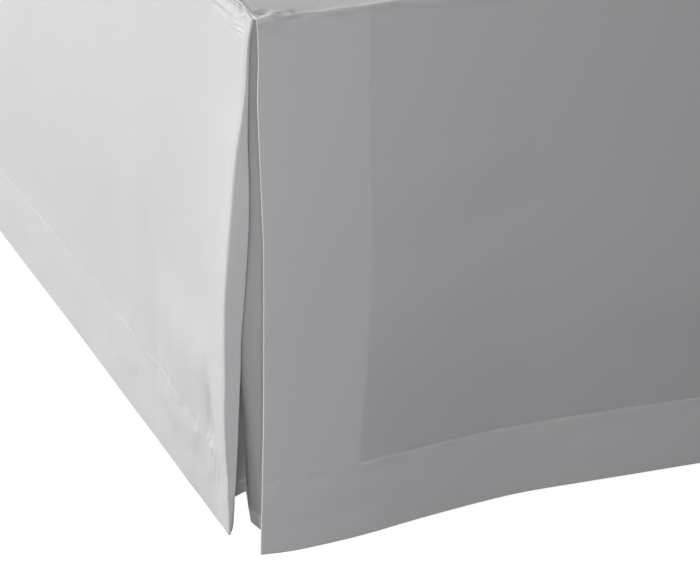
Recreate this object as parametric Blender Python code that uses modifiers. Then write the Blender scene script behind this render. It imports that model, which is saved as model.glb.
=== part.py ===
# A tailored bed skirt with split corners, on a plain box spring and steel base.
# Metres, +Z up. The bed's length runs along Y with its foot at -Y, and its width along X.
# "Depth" is measured down from the top seam, "run" along a panel from its end.

import bpy
import bmesh
from math import pi, sin
from mathutils import Vector

# Skirt
BED_WIDTH = 1.524
BED_LENGTH = 2.032
DROP = 0.381
HEM_ABOVE_FLOOR = 0.008
CLOTH = 0.0012
HEM_CLOTH = 0.0023          # two layers, turned to the back
BOTTOM_HEM = 0.056
END_HEM = 0.080
SEAM_ALLOWANCE = 0.013      # turned to the back under the top seam
STITCH_STEP = 0.002         # the cloth thickens over this length at a hem's stitch line
GAP = 0.0003

# Corners of the skirt
FOOT_PANEL_END = 0.006      # the foot panel stops this far short of the corner
CORNER_DROOP = 0.0055       # how far the top seam dips at a split corner
DROOP_REACH = 0.025
DROOP_DEPTH = 0.090         # the dip has faded out this far below the seam
EDGE_LIP = 0.0022           # a side panel's upright edge stands out a little more than its hem
SWELL_FULL = 0.030          # the foot panel's end swells fully as far as this from the corner
SWELL_FADE = 0.100          # and the swell fades over this length
CREASE_RUN = 0.142          # a soft upright crease in the foot panel, from the panel's end
CREASE_WIDTH = 0.030
CREASE_DEPTH = 0.0025
CREASE_SHARE = 0.85         # share of the drop that the crease runs down
WAVE_LENGTH = 0.620         # slow waves along the side panels
WAVE_GROWTH = 0.300
INSERT_REACH = 0.135        # how far a corner insert runs behind the side panel
INSERT_HEM = 0.012
INSERT_SEAT = 0.0005        # from the foot panel's back to the insert's back
INSERT_START = 0.0015       # the insert starts this far behind the foot panel's end
INSERT_BEHIND = 0.0030      # the side run's outer face, in from the side panel's seam line
INSERT_SIDE_MIDDLE = 0.060
INSERT_FOLD = 0.005         # half length of cloth that turns at each of the insert's folds

# Base
BASE_SETBACK = 0.0065       # from the seam line to the box spring's sides
BOX_HEIGHT = 0.2265
BOX_CORNER_RADIUS = 0.038
BOX_EDGE_RADIUS = 0.004
RAIL_WIDTH = 0.040
RAIL_HEIGHT = 0.030
RAIL_INSET = 0.130          # from the seam line to a side rail's middle
RAIL_EDGE_RADIUS = 0.003
RAIL_LENGTH = 1.900
LEG_SPAN = 0.880            # from the middle leg to an end leg
LEG_TOP_RADIUS = 0.019
LEG_FOOT_RADIUS = 0.015
GLIDE_RADIUS = 0.021
GLIDE_HEIGHT = 0.012
LEG_SIDES = 20

# Heights above the floor
SEAM_TOP = HEM_ABOVE_FLOOR + DROP
DECK_TOP = SEAM_TOP - 0.0012
DECK_UNDERSIDE = DECK_TOP - CLOTH
BOX_TOP = DECK_UNDERSIDE - GAP
BOX_BOTTOM = BOX_TOP - BOX_HEIGHT
RAIL_TOP = BOX_BOTTOM - GAP
LEG_TOP = RAIL_TOP - RAIL_HEIGHT - GAP

# Rows of the sheets, as depths below the seam; two close rows make each change of thickness.
HEM_LINE = DROP - BOTTOM_HEM
DEPTHS = (
    0.0, 0.005, SEAM_ALLOWANCE, SEAM_ALLOWANCE + STITCH_STEP, 0.045, 0.073, 0.101, 0.130, 0.164,
    0.200, 0.240, 0.284, HEM_LINE - STITCH_STEP / 2, HEM_LINE + STITCH_STEP / 2, 0.352, DROP,
)

# Upright edge of the foot panel at a split: outward swell at each share of the drop.
FOOT_END_SWELL = (
    {"share": 0.00, "out": 0.0000},
    {"share": 0.05, "out": 0.0028},
    {"share": 0.12, "out": 0.0050},
    {"share": 0.19, "out": 0.0087},
    {"share": 0.265, "out": 0.0160},
    {"share": 0.34, "out": 0.0180},
    {"share": 0.42, "out": 0.0220},
    {"share": 0.60, "out": 0.0237},
    {"share": 0.75, "out": 0.0240},
    {"share": 0.89, "out": 0.0215},
    {"share": 1.00, "out": 0.0180},
)

# The foot panel away from its ends: it leans out, and its bottom hem kicks out further.
FOOT_LEAN = (
    {"share": 0.00, "out": 0.0000},
    {"share": 0.40, "out": 0.0040},
    {"share": 0.75, "out": 0.0090},
    {"share": 0.853, "out": 0.0112},
    {"share": 1.00, "out": 0.0196},
)

# Folds of a corner insert, as (inward from the side, inward from the foot) at each share of the
# drop: the valley's foot wall ends, its side wall begins, that wall ends, the side run begins.
INSERT_FOLDS = (
    {"share": 0.00, "wall_end": (0.0120, 0.0040), "back_end": (0.0125, 0.0075),
     "lip": (0.0070, 0.0140), "side_run": (0.0030, 0.0260)},
    {"share": 0.17, "wall_end": (0.0260, 0.0025), "back_end": (0.0240, 0.0060),
     "lip": (0.0100, 0.0090), "side_run": (0.0032, 0.0200)},
    {"share": 0.43, "wall_end": (0.0288, 0.0022), "back_end": (0.0250, 0.0055),
     "lip": (0.0100, 0.0080), "side_run": (0.0030, 0.0190)},
    {"share": 0.60, "wall_end": (0.0400, 0.0022), "back_end": (0.0345, 0.0036),
     "lip": (0.0140, 0.0030), "side_run": (0.0040, 0.0110)},
    {"share": 0.77, "wall_end": (0.0560, 0.0050), "back_end": (0.0540, 0.0130),
     "lip": (0.0160, 0.0020), "side_run": (0.0050, 0.0070)},
    {"share": 1.00, "wall_end": (0.0610, 0.0040), "back_end": (0.0670, 0.0145),
     "lip": (0.0180, 0.0014), "side_run": (0.0060, 0.0037)},
)

# One row for each side of the bed. "side" is +1 at +X. The upright hem at the split stands out
# by "flare" at the bottom, as far as "kink", and the panel falls back to straight over "ease".
SIDES = (
    {"name": "right", "side": 1, "flare": 0.0285, "kink": 0.068, "ease": 0.142,
     "swing": 0.0078, "foot_swell": 1.0, "wave": 0.0016, "wave_start": 0.55},
    {"name": "left", "side": -1, "flare": 0.0240, "kink": 0.074, "ease": 0.150,
     "swing": 0.0060, "foot_swell": 0.8, "wave": 0.0020, "wave_start": 0.35},
)

COLORS = {
    "cloth": (0.80, 0.80, 0.80),
    "ticking": (0.72, 0.71, 0.68),
    "steel": (0.05, 0.05, 0.055),
}


# ---------------------------------------------------------------- helpers

def ease(value):
    """Smooth 0 to 1 as value goes from 0 to 1."""
    value = min(1.0, max(0.0, value))
    return value * value * (3 - 2 * value)


def read_column(rows, share, column):
    """Value of a table's column at a share of the drop, on a smooth curve through its rows."""
    keys = [row["share"] for row in rows]
    values = [Vector(row[column]) if isinstance(row[column], tuple) else row[column] for row in rows]
    share = min(max(share, keys[0]), keys[-1])
    index = max(i for i in range(len(keys) - 1) if keys[i] <= share)
    slopes = []
    for i in (index, index + 1):
        low, high = max(i - 1, 0), min(i + 1, len(keys) - 1)
        slopes.append((values[high] - values[low]) / (keys[high] - keys[low]))
    span = keys[index + 1] - keys[index]
    u = (share - keys[index]) / span
    return (
        values[index] * (2 * u ** 3 - 3 * u ** 2 + 1)
        + slopes[0] * (span * (u ** 3 - 2 * u ** 2 + u))
        + values[index + 1] * (3 * u ** 2 - 2 * u ** 3)
        + slopes[1] * (span * (u ** 3 - u ** 2))
    )


def droop(distance, depth):
    """How far the seam sags near a split corner; it fades out below the seam."""
    near = max(0.0, 1 - distance / DROOP_REACH)
    return CORNER_DROOP * near ** 1.5 * max(0.0, 1 - depth / DROOP_DEPTH)


def make_material(name, color, roughness, metallic=0.0):
    material = bpy.data.materials.new(name)
    material.use_nodes = True
    shader = material.node_tree.nodes["Principled BSDF"]
    shader.inputs["Base Color"].default_value = (*color, 1)
    shader.inputs["Roughness"].default_value = roughness
    shader.inputs["Metallic"].default_value = metallic
    material.diffuse_color = (*color, 1)
    return material


def add_object(name, mesh, collection, parent, material):
    mesh.materials.append(material)
    part = bpy.data.objects.new(name, mesh)
    part.parent = parent
    collection.objects.link(part)
    return part


def add_sheet(name, runs, depths, place, thickness, flip, group):
    """A grid of runs by depths on the cloth's outer face, thickened towards its back."""
    bm = bmesh.new()
    bmesh.ops.create_grid(bm, x_segments=len(runs) - 1, y_segments=len(depths) - 1, size=0.5)
    bm.verts.ensure_lookup_table()
    weights = []
    for vert in bm.verts:
        column = round((vert.co.x + 0.5) * (len(runs) - 1))
        row = round((vert.co.y + 0.5) * (len(depths) - 1))
        vert.co = place(runs[column], depths[row])
        weights.append(thickness(runs[column], depths[row]) / HEM_CLOTH)
    if flip:
        bmesh.ops.reverse_faces(bm, faces=bm.faces)
    mesh = bpy.data.meshes.new(name)
    bm.to_mesh(mesh)
    bm.free()
    mesh.shade_smooth()
    part = add_object(name, mesh, *group, make_material(name, COLORS["cloth"], 0.85))
    layers = part.vertex_groups.new(name="layers")
    for index, weight in enumerate(weights):
        layers.add([index], weight, "REPLACE")
    solid = part.modifiers.new("cloth", "SOLIDIFY")
    solid.thickness = HEM_CLOTH
    solid.offset = -1
    solid.vertex_group = layers.name
    return part


def add_block(name, size, centre, group, material, corner_radius=0.0, edge_radius=0.0):
    """A box whose upright edges are rounded first, and then its top and bottom edges."""
    bm = bmesh.new()
    bmesh.ops.create_cube(bm, size=1)
    bmesh.ops.scale(bm, vec=size, verts=bm.verts)
    if corner_radius:
        upright = [e for e in bm.edges if abs(e.verts[0].co.z - e.verts[1].co.z) > size[2] / 2]
        bmesh.ops.bevel(bm, geom=upright, offset=corner_radius, segments=7, profile=0.5,
                        affect="EDGES")
    if edge_radius:
        level = [e for e in bm.edges if abs(e.verts[0].co.z - e.verts[1].co.z) < 1e-6
                 and len(e.link_faces) == 2 and e.calc_face_angle() > 1]
        bmesh.ops.bevel(bm, geom=level, offset=edge_radius, segments=1, profile=0.5,
                        affect="EDGES")
    bmesh.ops.recalc_face_normals(bm, faces=bm.faces)
    mesh = bpy.data.meshes.new(name)
    bm.to_mesh(mesh)
    bm.free()
    part = add_object(name, mesh, *group, material)
    part.location = centre
    return part


# ---------------------------------------------------------------- skirt

def hem_thickness(run, depth, length):
    """Cloth is doubled along the bottom, both upright ends and the seam allowance."""
    half = STITCH_STEP / 2
    at_end = min(run, length - run) <= END_HEM - half
    at_bottom = depth >= HEM_LINE + half
    at_seam = depth <= SEAM_ALLOWANCE
    return HEM_CLOTH if at_end or at_bottom or at_seam else CLOTH


def end_hem_runs(length):
    """The two columns on each side of both upright stitch lines."""
    half = STITCH_STEP / 2
    near = [END_HEM - half, END_HEM + half]
    return near + [length - run for run in near]


def side_swell(run, depth, row):
    """Outward offset of a side panel: the flared upright hem, then slow waves further along."""
    share = depth / DROP
    past_kink = min(1.0, max(0.0, (run - row["kink"]) / row["ease"]))
    flare = row["flare"] * (1 - past_kink) ** 1.3
    lip = EDGE_LIP * max(0.0, 1 - run / row["kink"])
    wave_run = max(0.0, run - row["wave_start"])
    wave = row["wave"] * ease(wave_run / WAVE_GROWTH) * (1 + sin(wave_run * 2 * pi / WAVE_LENGTH))
    return (flare + lip) * share ** 1.15 + wave * share


def add_side_panel(row, group):
    side = row["side"]
    length = BED_LENGTH
    bends = [0.0, 0.014, 0.034, 0.054, 0.068, 0.092, 0.104, 0.118, 0.134, 0.152, 0.172, 0.195, 0.225,
             0.280, 0.370]
    far = [0.370 + 0.132 * step for step in range(1, 12)]
    runs = sorted(bends + far + [length - 0.040, length] + end_hem_runs(length))

    def place(run, depth):
        share = depth / DROP
        swing = row["swing"] * share ** 1.6 * (1 - ease(run / (row["kink"] + row["ease"])))
        out = side_swell(run, depth, row)
        return Vector((
            side * (BED_WIDTH / 2 + out),
            -BED_LENGTH / 2 + run - swing,
            SEAM_TOP - depth - droop(run, depth),
        ))

    return add_sheet(
        "side_panel_" + row["name"], runs, DEPTHS, place,
        lambda run, depth: hem_thickness(run, depth, length), side > 0, group,
    )


def foot_swell(run, depth, length):
    """Outward offset of the foot panel: its lean, and the swell towards each split."""
    share = depth / DROP
    lean = read_column(FOOT_LEAN, share, "out")
    swell = read_column(FOOT_END_SWELL, share, "out")
    total = lean
    for row in SIDES:
        to_end = length - run if row["side"] > 0 else run
        near = 1 - ease((to_end - SWELL_FULL) / SWELL_FADE)
        beside = max(0.0, 1 - abs(to_end - CREASE_RUN) / CREASE_WIDTH)
        crease = CREASE_DEPTH * beside * sin(pi * min(share / CREASE_SHARE, 1))
        total += row["foot_swell"] * ((swell - lean) * near - crease)
    return total


def add_foot_panel(group):
    length = BED_WIDTH - 2 * FOOT_PANEL_END
    near_end = [0.0, 0.012, 0.030, 0.048, 0.064, 0.094, 0.110, 0.126, 0.142, 0.158, 0.180, 0.240,
                0.340, 0.460, 0.600]
    runs = sorted(near_end + [length - run for run in near_end] + [length / 2] + end_hem_runs(length))

    def place(run, depth):
        to_corner = min(run, length - run) + FOOT_PANEL_END
        return Vector((
            -length / 2 + run,
            -BED_LENGTH / 2 - foot_swell(run, depth, length),
            SEAM_TOP - depth - droop(to_corner, depth),
        ))

    return add_sheet(
        "foot_panel", runs, DEPTHS, place,
        lambda run, depth: hem_thickness(run, depth, length), True, group,
    )


def rounded_path(points, steps):
    """Points along a folded line whose folds are short curves; the count is always the same."""
    path = [points[0]]
    leave = points[0]
    for before, fold, after in zip(points, points[1:], points[2:]):
        into = fold - before
        out = after - fold
        enter = fold - into.normalized() * min(INSERT_FOLD, into.length * 0.45)
        end = fold + out.normalized() * min(INSERT_FOLD, out.length * 0.45)
        path += [leave.lerp(enter, step / steps) for step in range(1, steps + 1)]
        for u in (0.25, 0.5, 0.75, 1.0):
            path.append(enter * (1 - u) ** 2 + fold * (2 * u * (1 - u)) + end * u ** 2)
        leave = end
    path += [leave.lerp(points[-1], step / steps) for step in range(1, steps + 1)]
    return path


def insert_thickness(depth):
    """A corner insert is single cloth with a narrow double hem."""
    return HEM_CLOTH if depth > DROP - INSERT_HEM else CLOTH


def insert_section(share, row):
    """Plan line of a corner insert's outer face, from the foot panel's back to the side run's end."""
    lean = read_column(FOOT_LEAN, share, "out")
    swell = read_column(FOOT_END_SWELL, share, "out")
    foot_out = swell * row["foot_swell"] + lean * (1 - row["foot_swell"])
    behind_panel = HEM_CLOTH + INSERT_SEAT + insert_thickness(share * DROP)
    start = Vector((FOOT_PANEL_END + INSERT_START, behind_panel - foot_out))
    names = ("wall_end", "back_end", "lip", "side_run")
    folds = [read_column(INSERT_FOLDS, share, name) for name in names]
    middle = Vector((INSERT_BEHIND - 0.0020 * share, INSERT_SIDE_MIDDLE))
    end = Vector((INSERT_BEHIND - 0.0010 * share, INSERT_REACH))
    return rounded_path([start, *folds, middle, end], 3)


def add_corner_insert(row, group):
    side = row["side"]
    top = SEAM_TOP - DECK_UNDERSIDE + 3 * GAP
    hem_top = DROP - INSERT_HEM
    depths = [top] + [depth for depth in DEPTHS if SEAM_ALLOWANCE + STITCH_STEP < depth < HEM_LINE]
    depths += [(HEM_LINE + hem_top) / 2, hem_top - STITCH_STEP / 2, hem_top + STITCH_STEP / 2, DROP]
    sections = {depth: insert_section(depth / DROP, row) for depth in depths}
    runs = list(range(len(sections[top])))

    def place(run, depth):
        inward = sections[depth][run]
        return Vector((
            side * (BED_WIDTH / 2 - inward.x),
            -BED_LENGTH / 2 + inward.y,
            SEAM_TOP - depth - droop(inward.length, depth),
        ))

    return add_sheet(
        "corner_insert_" + row["name"], runs, depths, place,
        lambda run, depth: insert_thickness(depth), side > 0, group,
    )


def add_deck(group):
    """The flat cloth on the box spring; its two foot corners dip with the seam."""
    edge = HEM_CLOTH + GAP
    half_width = BED_WIDTH / 2 - edge
    length = BED_LENGTH - edge
    from_edge = [0.0, 0.006, 0.013, 0.022, 0.045, 0.200]
    across = [-half_width + step for step in from_edge] + [half_width - step for step in from_edge]
    along = from_edge + [length / 2, length - 0.200, length]

    def place(run, depth):
        x = sorted(across)[run]
        to_corner = Vector((BED_WIDTH / 2 - abs(x), edge + along[depth])).length
        return Vector((x, -BED_LENGTH / 2 + edge + along[depth], DECK_TOP - droop(to_corner, 0)))

    return add_sheet(
        "deck", list(range(len(across))), list(range(len(along))), place,
        lambda run, depth: CLOTH, False, group,
    )


# ---------------------------------------------------------------- base

def add_box_spring(group):
    width = BED_WIDTH - 2 * BASE_SETBACK
    length = BED_LENGTH - 2 * BASE_SETBACK
    centre = (0, 0, (BOX_TOP + BOX_BOTTOM) / 2)
    material = make_material("box_spring", COLORS["ticking"], 0.9)
    return add_block("box_spring", (width, length, BOX_HEIGHT), centre, group, material,
                     BOX_CORNER_RADIUS, BOX_EDGE_RADIUS)


def add_rails(group):
    rail_x = BED_WIDTH / 2 - RAIL_INSET
    middle_height = RAIL_TOP - RAIL_HEIGHT / 2
    for name, side in (("left", -1), ("right", 1)):
        material = make_material("side_rail_" + name, COLORS["steel"], 0.45)
        add_block("side_rail_" + name, (RAIL_WIDTH, RAIL_LENGTH, RAIL_HEIGHT),
                  (side * rail_x, 0, middle_height), group, material, 0.0, RAIL_EDGE_RADIUS)
    cross_length = 2 * rail_x - RAIL_WIDTH - 2 * GAP
    for name, place in (("foot", -1), ("middle", 0), ("head", 1)):
        material = make_material("cross_rail_" + name, COLORS["steel"], 0.45)
        add_block("cross_rail_" + name, (cross_length, RAIL_WIDTH, RAIL_HEIGHT),
                  (0, place * LEG_SPAN, middle_height), group, material, 0.0, RAIL_EDGE_RADIUS)


def add_legs(group):
    """Six turned legs under the side rails, each with its glide."""
    profile = (
        (0.0, LEG_TOP), (LEG_TOP_RADIUS, LEG_TOP), (LEG_FOOT_RADIUS, GLIDE_HEIGHT),
        (GLIDE_RADIUS, GLIDE_HEIGHT), (GLIDE_RADIUS, 0.0), (0.0, 0.0),
    )
    for side_name, side in (("left", -1), ("right", 1)):
        for end_name, place in (("foot", -1), ("middle", 0), ("head", 1)):
            name = "leg_" + end_name + "_" + side_name
            mesh = bpy.data.meshes.new(name)
            edges = [(i, i + 1) for i in range(len(profile) - 1)]
            mesh.from_pydata([(radius, 0, height) for radius, height in profile], edges, [])
            leg = add_object(name, mesh, *group, make_material(name, COLORS["steel"], 0.45))
            turn = leg.modifiers.new("turn", "SCREW")
            turn.steps = LEG_SIDES
            turn.render_steps = LEG_SIDES
            turn.use_merge_vertices = True
            turn.merge_threshold = 0.0001
            leg.location = (side * (BED_WIDTH / 2 - RAIL_INSET), place * LEG_SPAN, 0)


# ---------------------------------------------------------------- assembly

def centre_on_floor(collection, parent):
    """Moves the whole part so that its bounding box is centred on the origin in plan."""
    bpy.context.view_layer.update()
    graph = bpy.context.evaluated_depsgraph_get()
    corners = []
    for part in collection.objects:
        if part.type == "MESH":
            seen = part.evaluated_get(graph)
            corners += [seen.matrix_world @ vert.co for vert in seen.data.vertices]
    for axis in (0, 1):
        values = [corner[axis] for corner in corners]
        parent.location[axis] = -(min(values) + max(values)) / 2


def main():
    for old in list(bpy.data.objects):
        bpy.data.objects.remove(old, do_unlink=True)
    collection = bpy.data.collections.new("bed_skirt_on_box_spring")
    bpy.context.scene.collection.children.link(collection)
    parent = bpy.data.objects.new("bed_skirt_origin", None)
    collection.objects.link(parent)
    group = (collection, parent)
    add_deck(group)
    add_foot_panel(group)
    for row in SIDES:
        add_side_panel(row, group)
        add_corner_insert(row, group)
    add_box_spring(group)
    add_rails(group)
    add_legs(group)
    centre_on_floor(collection, parent)


main()
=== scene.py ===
from math import cos, pi, radians, sin

import bpy
import bmesh
import numpy as np
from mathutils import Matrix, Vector, noise


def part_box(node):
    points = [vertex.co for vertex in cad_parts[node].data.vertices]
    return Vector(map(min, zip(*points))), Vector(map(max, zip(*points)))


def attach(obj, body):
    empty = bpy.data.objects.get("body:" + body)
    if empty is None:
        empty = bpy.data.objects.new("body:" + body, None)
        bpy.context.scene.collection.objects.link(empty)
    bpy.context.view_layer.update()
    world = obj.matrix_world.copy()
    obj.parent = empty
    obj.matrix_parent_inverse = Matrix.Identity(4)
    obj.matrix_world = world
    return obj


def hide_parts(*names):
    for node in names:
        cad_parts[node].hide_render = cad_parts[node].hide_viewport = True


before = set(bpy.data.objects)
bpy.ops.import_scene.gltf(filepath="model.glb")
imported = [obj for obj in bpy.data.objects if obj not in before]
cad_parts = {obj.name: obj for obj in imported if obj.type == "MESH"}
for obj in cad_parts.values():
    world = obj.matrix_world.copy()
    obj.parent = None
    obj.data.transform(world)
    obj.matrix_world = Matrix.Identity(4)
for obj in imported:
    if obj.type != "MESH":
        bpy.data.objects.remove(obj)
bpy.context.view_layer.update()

# A tailored bed skirt with split corners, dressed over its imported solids.
# Metres, Z up, the bed's foot at -Y. Depth is measured down from the seam, run along a panel.

bed = {
    "width": 1.524,
    "length": 2.032,
    "drop": 0.381,
    "seamTop": 0.3890,
    "bottomHem": 0.056,
    "endHem": 0.080,
    "seamAllowance": 0.013,
    "footPanelEnd": 0.006,      # the foot panel stops this far short of the corner
    "cloth": 0.0012,
    "hemCloth": 0.0023,
    "boxBottom": 0.1598,
    "setback": 0.0065,          # from the seam line to the box spring's sides
}
hemLine = bed["drop"] - bed["bottomHem"]
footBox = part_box("foot_panel")
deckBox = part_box("deck")
origin = Vector(((footBox[0].x + footBox[1].x) / 2, deckBox[1].y - bed["length"] / 2, 0))
millimetre = 0.001


# Small helpers for the cloth's shape, all on whole grids at once

def ease(value):  # 0 below 0 and 1 above 1, with soft ends between
    value = np.clip(value, 0, 1)
    return value * value * (3 - 2 * value)


def rising(value, start, over):  # from 0 at start to 1
    return ease((value - start) / over)


def falling(value, end, over):  # from 1 to 0 at the end
    return ease((end - value) / over)


def bell(distance, width):  # 1 at no distance, almost gone at twice the width
    return np.exp(-(distance / width) ** 2)


def graded(*stops):  # positions whose spacing changes smoothly from stop to stop
    starts, steps = zip(*stops)
    places = [starts[0]]
    while places[-1] < starts[-1]:
        places.append(places[-1] + float(np.interp(places[-1], starts, steps)))
    places = np.array(places)
    return starts[0] + (places - starts[0]) * (starts[-1] - starts[0]) / (places[-1] - starts[0])


def table(columns, *rows):
    return [dict(zip(columns, row)) for row in rows]


def readCurve(rows, share, column):  # smooth curve through one column of a table
    keys = np.array([row["share"] for row in rows])
    values = np.array([row[column] for row in rows], float)
    slopes = np.zeros_like(values)
    last = len(keys) - 1
    for i in range(len(keys)):
        low, high = max(i - 1, 0), min(i + 1, last)
        slopes[i] = (values[high] - values[low]) / (keys[high] - keys[low])
    share = np.clip(np.asarray(share, float), keys[0], keys[-1])
    index = np.clip(np.searchsorted(keys, share, side="right") - 1, 0, last - 1)
    span = keys[index + 1] - keys[index]
    u = (share - keys[index]) / span
    if values.ndim > 1:
        u, span = u[..., None], span[..., None]
    return (
        values[index] * (2 * u ** 3 - 3 * u ** 2 + 1)
        + slopes[index] * span * (u ** 3 - 2 * u ** 2 + u)
        + values[index + 1] * (3 * u ** 2 - 2 * u ** 3)
        + slopes[index + 1] * span * (u ** 3 - u ** 2)
    )


def ripple(across, down, sizeAcross, sizeDown, seed):  # smooth noise, about -0.7 to 0.7
    pairs = zip((across / sizeAcross).ravel(), (down / sizeDown).ravel())
    return np.array([noise.noise((a, b, seed)) for a, b in pairs]).reshape(across.shape)


foldTaper = 0.7    # below 1, a fold keeps its height longer toward its ends
foldColumns = ("start", "end", "width", "height", "fade")    # "fade" is the width on the gentle side


def softFolds(across, down, folds):  # troughs and ridges listed one by one, each from a point to a point
    total = np.zeros_like(across)
    for fold in folds:
        (x0, y0), (x1, y1) = fold["start"], fold["end"]
        dx, dy = x1 - x0, y1 - y0
        t = np.clip(((across - x0) * dx + (down - y0) * dy) / (dx * dx + dy * dy), 0, 1)
        off = np.hypot(across - x0 - t * dx, down - y0 - t * dy)
        steepSide = (across - x0) * dy > (down - y0) * dx
        width = np.where(steepSide, fold["width"], fold.get("fade", fold["width"]))
        total += fold["height"] * bell(off, width) * np.sin(pi * t) ** foldTaper
    return total


splitSag = {
    "depth": 0.0043,
    "alongFoot": 0.038,     # the sag is gone this far from the corner
    "alongSide": 0.012,
    "below": 0.090,
    "sharpness": 1.4,
}


def cornerDroop(fromSide, fromFoot, depth):  # the seam sags at a split corner
    away = np.hypot(fromSide / splitSag["alongFoot"], fromFoot / splitSag["alongSide"])
    near = np.clip(1 - away, 0, 1) ** splitSag["sharpness"]
    return splitSag["depth"] * near * np.clip(1 - depth / splitSag["below"], 0, 1)


sideSag = [   # the side seam runs low near the foot and then high; "at" is from the foot
    {"at": 0.0165, "width": 0.009, "sag": 0.0018},
    {"at": 0.040, "width": 0.018, "sag": 0.0013},
    {"at": 0.104, "width": 0.021, "sag": -0.0019},
]
sideSagBelow = 0.05    # gone this far below the seam


def seamSag(fromFoot, depth):
    sag = sum(dip["sag"] * bell(fromFoot - dip["at"], dip["width"]) for dip in sideSag)
    return sag * (1 - ease(depth / sideSagBelow))


def foldedEdge(distance, thickness):  # how far a folded edge has turned away from the cloth's face
    half = thickness / 2
    inside = np.clip(half - distance, 0, half)
    return half - np.sqrt(half ** 2 - inside ** 2)


def addAttribute(mesh, name, values):
    mesh.attributes.new(name, "FLOAT", "POINT").data.foreach_set("value", values.astype(np.float32))


def addObject(name, mesh, material, slotName, *replaced):
    mesh.shade_smooth()
    mesh.materials.append(material)
    piece = bpy.data.objects.new(name, mesh)
    bpy.context.scene.collection.objects.link(piece)
    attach(piece, "root")
    if replaced:
        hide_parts(*replaced)
    return piece


def faceNormals(face, turn):
    normals = np.cross(np.gradient(face, axis=0), np.gradient(face, axis=1)) * turn
    return normals / np.linalg.norm(normals, axis=2, keepdims=True)


backPuff = 0.5    # how much of the stitched relief shows on the cloth's back


def makeCloth(name, cut):  # one closed sheet: a front grid and a back grid that share their border
    face, turn = cut["face"] + np.array(origin), cut["turn"]
    thickness, bend, puff = cut["thickness"], cut["bend"], cut["puff"]
    normals = faceNormals(face, turn)
    inset = foldedEdge(cut["toEdge"], thickness)
    front = face + normals * (bend + puff - inset)[..., None]
    back = face + normals * (bend - backPuff * puff - thickness + inset)[..., None]
    columns, rows = inset.shape
    ahead = np.arange(columns * rows).reshape(columns, rows)
    behind = ahead.copy()
    inner = (slice(1, -1), slice(1, -1))
    behind[inner] = columns * rows + np.arange((columns - 2) * (rows - 2)).reshape(columns - 2, -1)
    points = np.concatenate([front.reshape(-1, 3), back[inner].reshape(-1, 3)])
    quads = []
    for grid, way in ((ahead, turn), (behind, -turn)):
        ring = [grid[:-1, :-1], grid[1:, :-1], grid[1:, 1:], grid[:-1, 1:]]
        quads.append(np.stack(ring[::way], axis=-1).reshape(-1, 4))
    mesh = bpy.data.meshes.new(name)
    mesh.from_pydata(points.tolist(), [], np.concatenate(quads).tolist())
    for key in ("along", "down", "doubled", "backed"):
        values = np.broadcast_to(cut[key], inset.shape)
        addAttribute(mesh, key, np.concatenate([values.ravel(), values[inner].ravel()]))
    return mesh


# Node materials: a value in the shader is written as Python arithmetic

class Flow:
    def __init__(self, tree, socket=None):
        self.tree = tree
        self.socket = socket

    def node(self, kind, settings=None, inputs=None, output=0):
        made = self.tree.nodes.new(kind)
        for key, value in (settings or {}).items():
            if key == "stops":
                while len(made.color_ramp.elements) < len(value):
                    made.color_ramp.elements.new(0.5)
                for element, (position, color) in zip(made.color_ramp.elements, value):
                    element.position = position
                    element.color = color
            else:
                setattr(made, key, value)
        for key, value in (inputs or {}).items():
            if isinstance(value, Flow):
                self.tree.links.new(value.socket, made.inputs[key])
            else:
                made.inputs[key].default_value = value
        return Flow(self.tree, made.outputs[output] if made.outputs else None)

    def calc(self, operation, first, second=0.0):
        return self.node("ShaderNodeMath", {"operation": operation}, {0: first, 1: second})

    def __add__(self, other):
        return self.calc("ADD", self, other)

    def __radd__(self, other):
        return self.calc("ADD", other, self)

    def __sub__(self, other):
        return self.calc("SUBTRACT", self, other)

    def __rsub__(self, other):
        return self.calc("SUBTRACT", other, self)

    def __mul__(self, other):
        return self.calc("MULTIPLY", self, other)

    def __rmul__(self, other):
        return self.calc("MULTIPLY", other, self)

    def attribute(self, name):
        return self.node("ShaderNodeAttribute", {"attribute_name": name}, output="Fac")

    def grain(self, place, scale, detail=2.0, rough=0.5):  # noise, about 0.5 on average
        inputs = {"Vector": place, "Scale": scale, "Detail": detail, "Roughness": rough}
        return self.node("ShaderNodeTexNoise", {}, inputs)

    def blend(self, factor, first, second, how="MIX"):  # of two colours
        settings = {"data_type": "RGBA", "blend_type": how}
        return self.node("ShaderNodeMix", settings, {0: factor, 6: first, 7: second}, 2)

    def shaded(self, color, shade):  # a colour times a number
        return self.blend(1.0, color, shade, "MULTIPLY")

    def bump(self, height):  # height in metres
        return self.node("ShaderNodeBump", {}, {"Strength": 1.0, "Distance": 1.0, "Height": height})

    def place(self, x, y, z=0.0):
        return self.node("ShaderNodeCombineXYZ", {}, {"X": x, "Y": y, "Z": z})


def newFinish(name, constants):  # a material, its shader and where its values start
    material = bpy.data.materials.new(name)
    material.use_nodes = True
    shader = material.node_tree.nodes["Principled BSDF"]
    for key, value in constants.items():
        shader.inputs[key].default_value = value
    return material, shader, Flow(material.node_tree)


def feed(shader, flows):
    for key, flow in flows.items():
        flow.tree.links.new(flow.socket, shader.inputs[key])


weave = {
    "single": (0.770, 0.770, 0.772, 1),
    # paler colour of doubled cloth, also used as painted light
    "doubled": (0.930, 0.930, 0.932, 1),
    "paintedShadeColor": (0.600, 0.600, 0.604, 1),   # painted shade: the cloth's colour where shade is painted on it
    "pitch": 0.0007,
    "threadHeight": 0.000035,
    "slubScale": (900, 22),                 # noise across a thread and along it
    "slubHeight": 0.00006,
    "slubShade": 0.030,
    "cloudScale": 11.0,
    "cloudiness": 0.030,
    "roughness": 0.88,
    "roughnessSpread": 0.15,
}
clothConstants = {"Specular IOR Level": 0.25, "Sheen Weight": 0.25, "Sheen Roughness": 0.35}


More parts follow.
